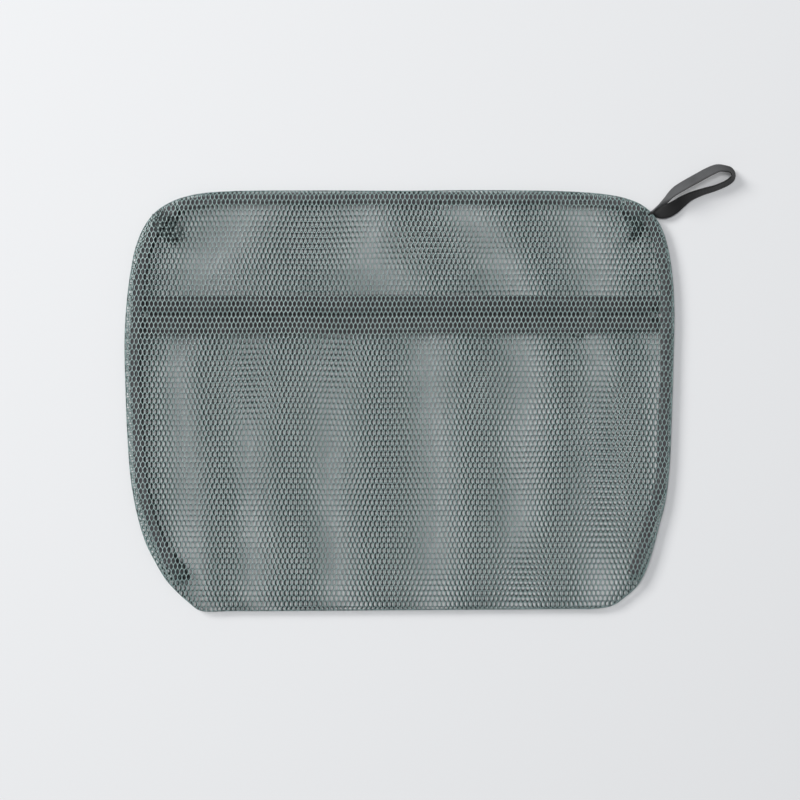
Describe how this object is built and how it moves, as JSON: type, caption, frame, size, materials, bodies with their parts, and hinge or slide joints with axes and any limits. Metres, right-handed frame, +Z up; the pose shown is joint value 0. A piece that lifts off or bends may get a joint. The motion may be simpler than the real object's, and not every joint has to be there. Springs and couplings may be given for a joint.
{
  "type": "mesh laundry bag",
  "caption": "Flat zipped net bag that holds small garments together in a washing machine, sewn from hexagonal mesh with bound seams and a hanging loop at one top corner.",
  "frame": {"origin": "on the surface the empty bag lies on, under the middle of the bag's outline, on the underside of the rear net", "axes": "+X along the zipper towards the side with the hanging loop, +Y from the folded bottom edge to the top seam, +Z up through the bag to its front net"},
  "size_m": [0.4448, 0.3249, 0.0147],
  "materials": {
    "net": "matte",
    "binding_tape": "matte",
    "thread": "matte",
    "zipper_tape": "matte",
    "nylon_coil": "satin",
    "slider_paint": "satin",
    "loop_tape": "matte"
  },
  "bodies": {
    "bag": {"front_net": "net", "rear_lower_net": "net", "rear_upper_net": "net", "top_binding": "binding_tape", "left_binding": "binding_tape", "right_binding": "binding_tape", "top_seam_stitching": "thread", "left_seam_stitching": "thread", "right_seam_stitching": "thread", "zipper_tape_lower": "zipper_tape", "zipper_tape_upper": "zipper_tape", "zipper_coil_lower": "nylon_coil", "zipper_coil_upper": "nylon_coil", "zipper_stitching_lower": "thread", "zipper_stitching_upper": "thread", "zipper_end_bartacks": "thread", "loop_sewn_ends": "loop_tape", "loop_bartack": "thread"},
    "slider": {"zipper_slider": "slider_paint"},
    "tab": {"pull_tab": "slider_paint"},
    "loop": {"hanging_loop": "loop_tape"}
  },
  "joints": [
    {"name": "zipper_travel", "type": "slide", "parent": "bag", "child": "slider", "axis": [1, 0, 0], "range_m": [-0.319, 0.032]},
    {"name": "tab_swing", "type": "hinge", "parent": "slider", "child": "tab", "pos_m": [0.1435, 0.0625, 0.00145], "axis": [0.7071, -0.7071, 0], "range_deg": [0, 170]},
    {"name": "loop_swing", "type": "hinge", "parent": "bag", "child": "loop", "pos_m": [0.18879, 0.13899, 0.006], "axis": [0.4467, -0.8947, 0], "range_deg": [-90, 120]}
  ]
}
